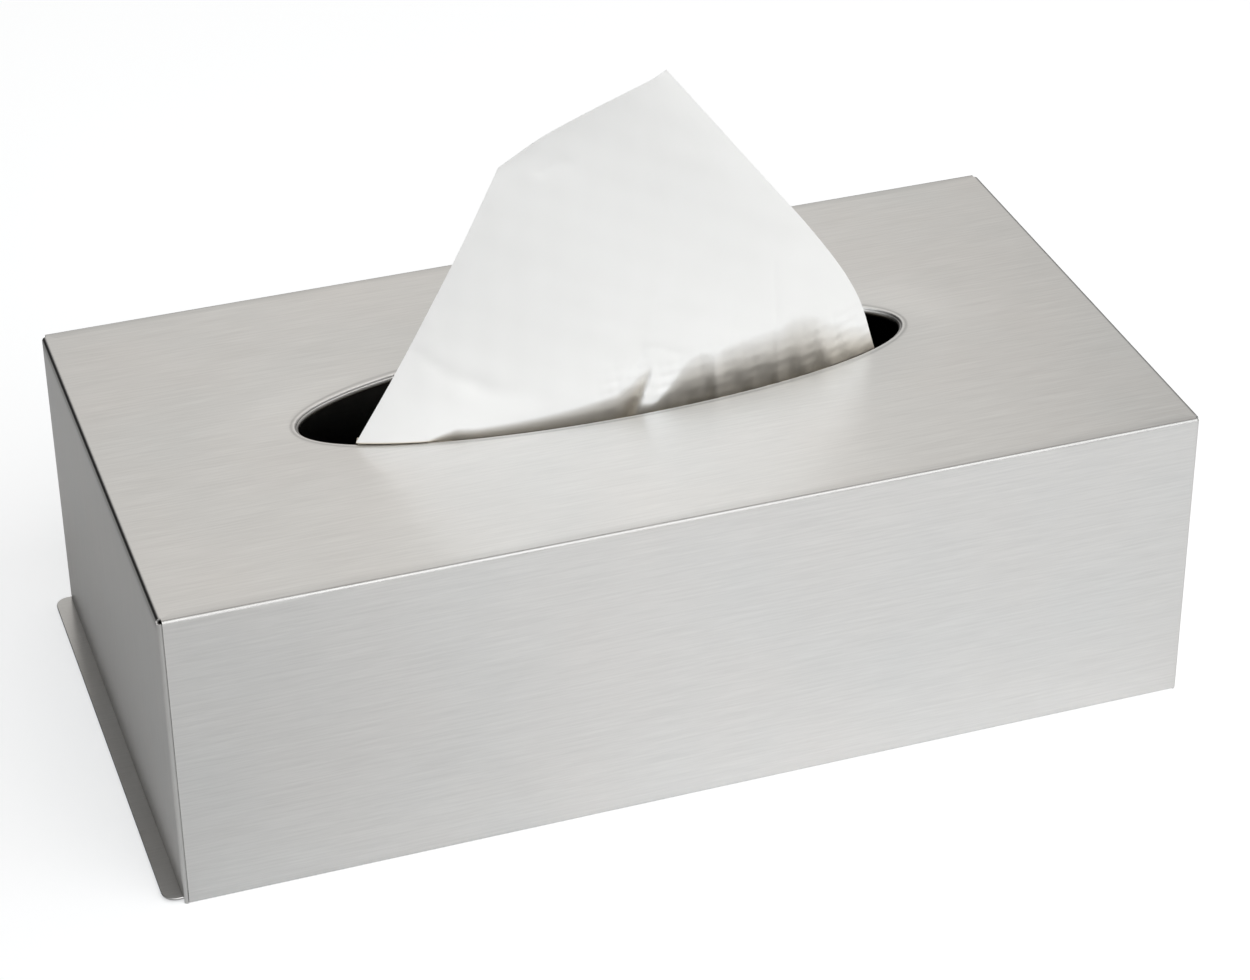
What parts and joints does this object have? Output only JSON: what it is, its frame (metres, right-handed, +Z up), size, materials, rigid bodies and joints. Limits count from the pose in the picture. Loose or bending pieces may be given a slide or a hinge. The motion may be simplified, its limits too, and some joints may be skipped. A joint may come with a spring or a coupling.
{
  "type": "tissue box cover",
  "caption": "Folded brushed steel cover for a tissue pack, with an oval slot in its top and a base plate that slides out at one end.",
  "frame": {"origin": "on the surface that the box stands on, below the middle of its bounding box", "axes": "+Z up, -Y the front long wall, -X the end where the base plate slides out"},
  "size_m": [0.2594, 0.135, 0.1605],
  "materials": {
    "cover_steel": "fine straight brushing along each wall",
    "plate_steel": "fine straight brushing",
    "tissue_paper": "matt soft white paper"
  },
  "bodies": {
    "cover": {"cover": "cover_steel", "tissue_stack": "tissue_paper", "pulled_tissue": "tissue_paper"},
    "base_plate": {"base_plate": "plate_steel"}
  },
  "joints": [
    {"name": "base_plate_slide", "type": "slide", "parent": "cover", "child": "base_plate", "axis": [-1, 0, 0], "range_m": [0, 0.25]}
  ]
}
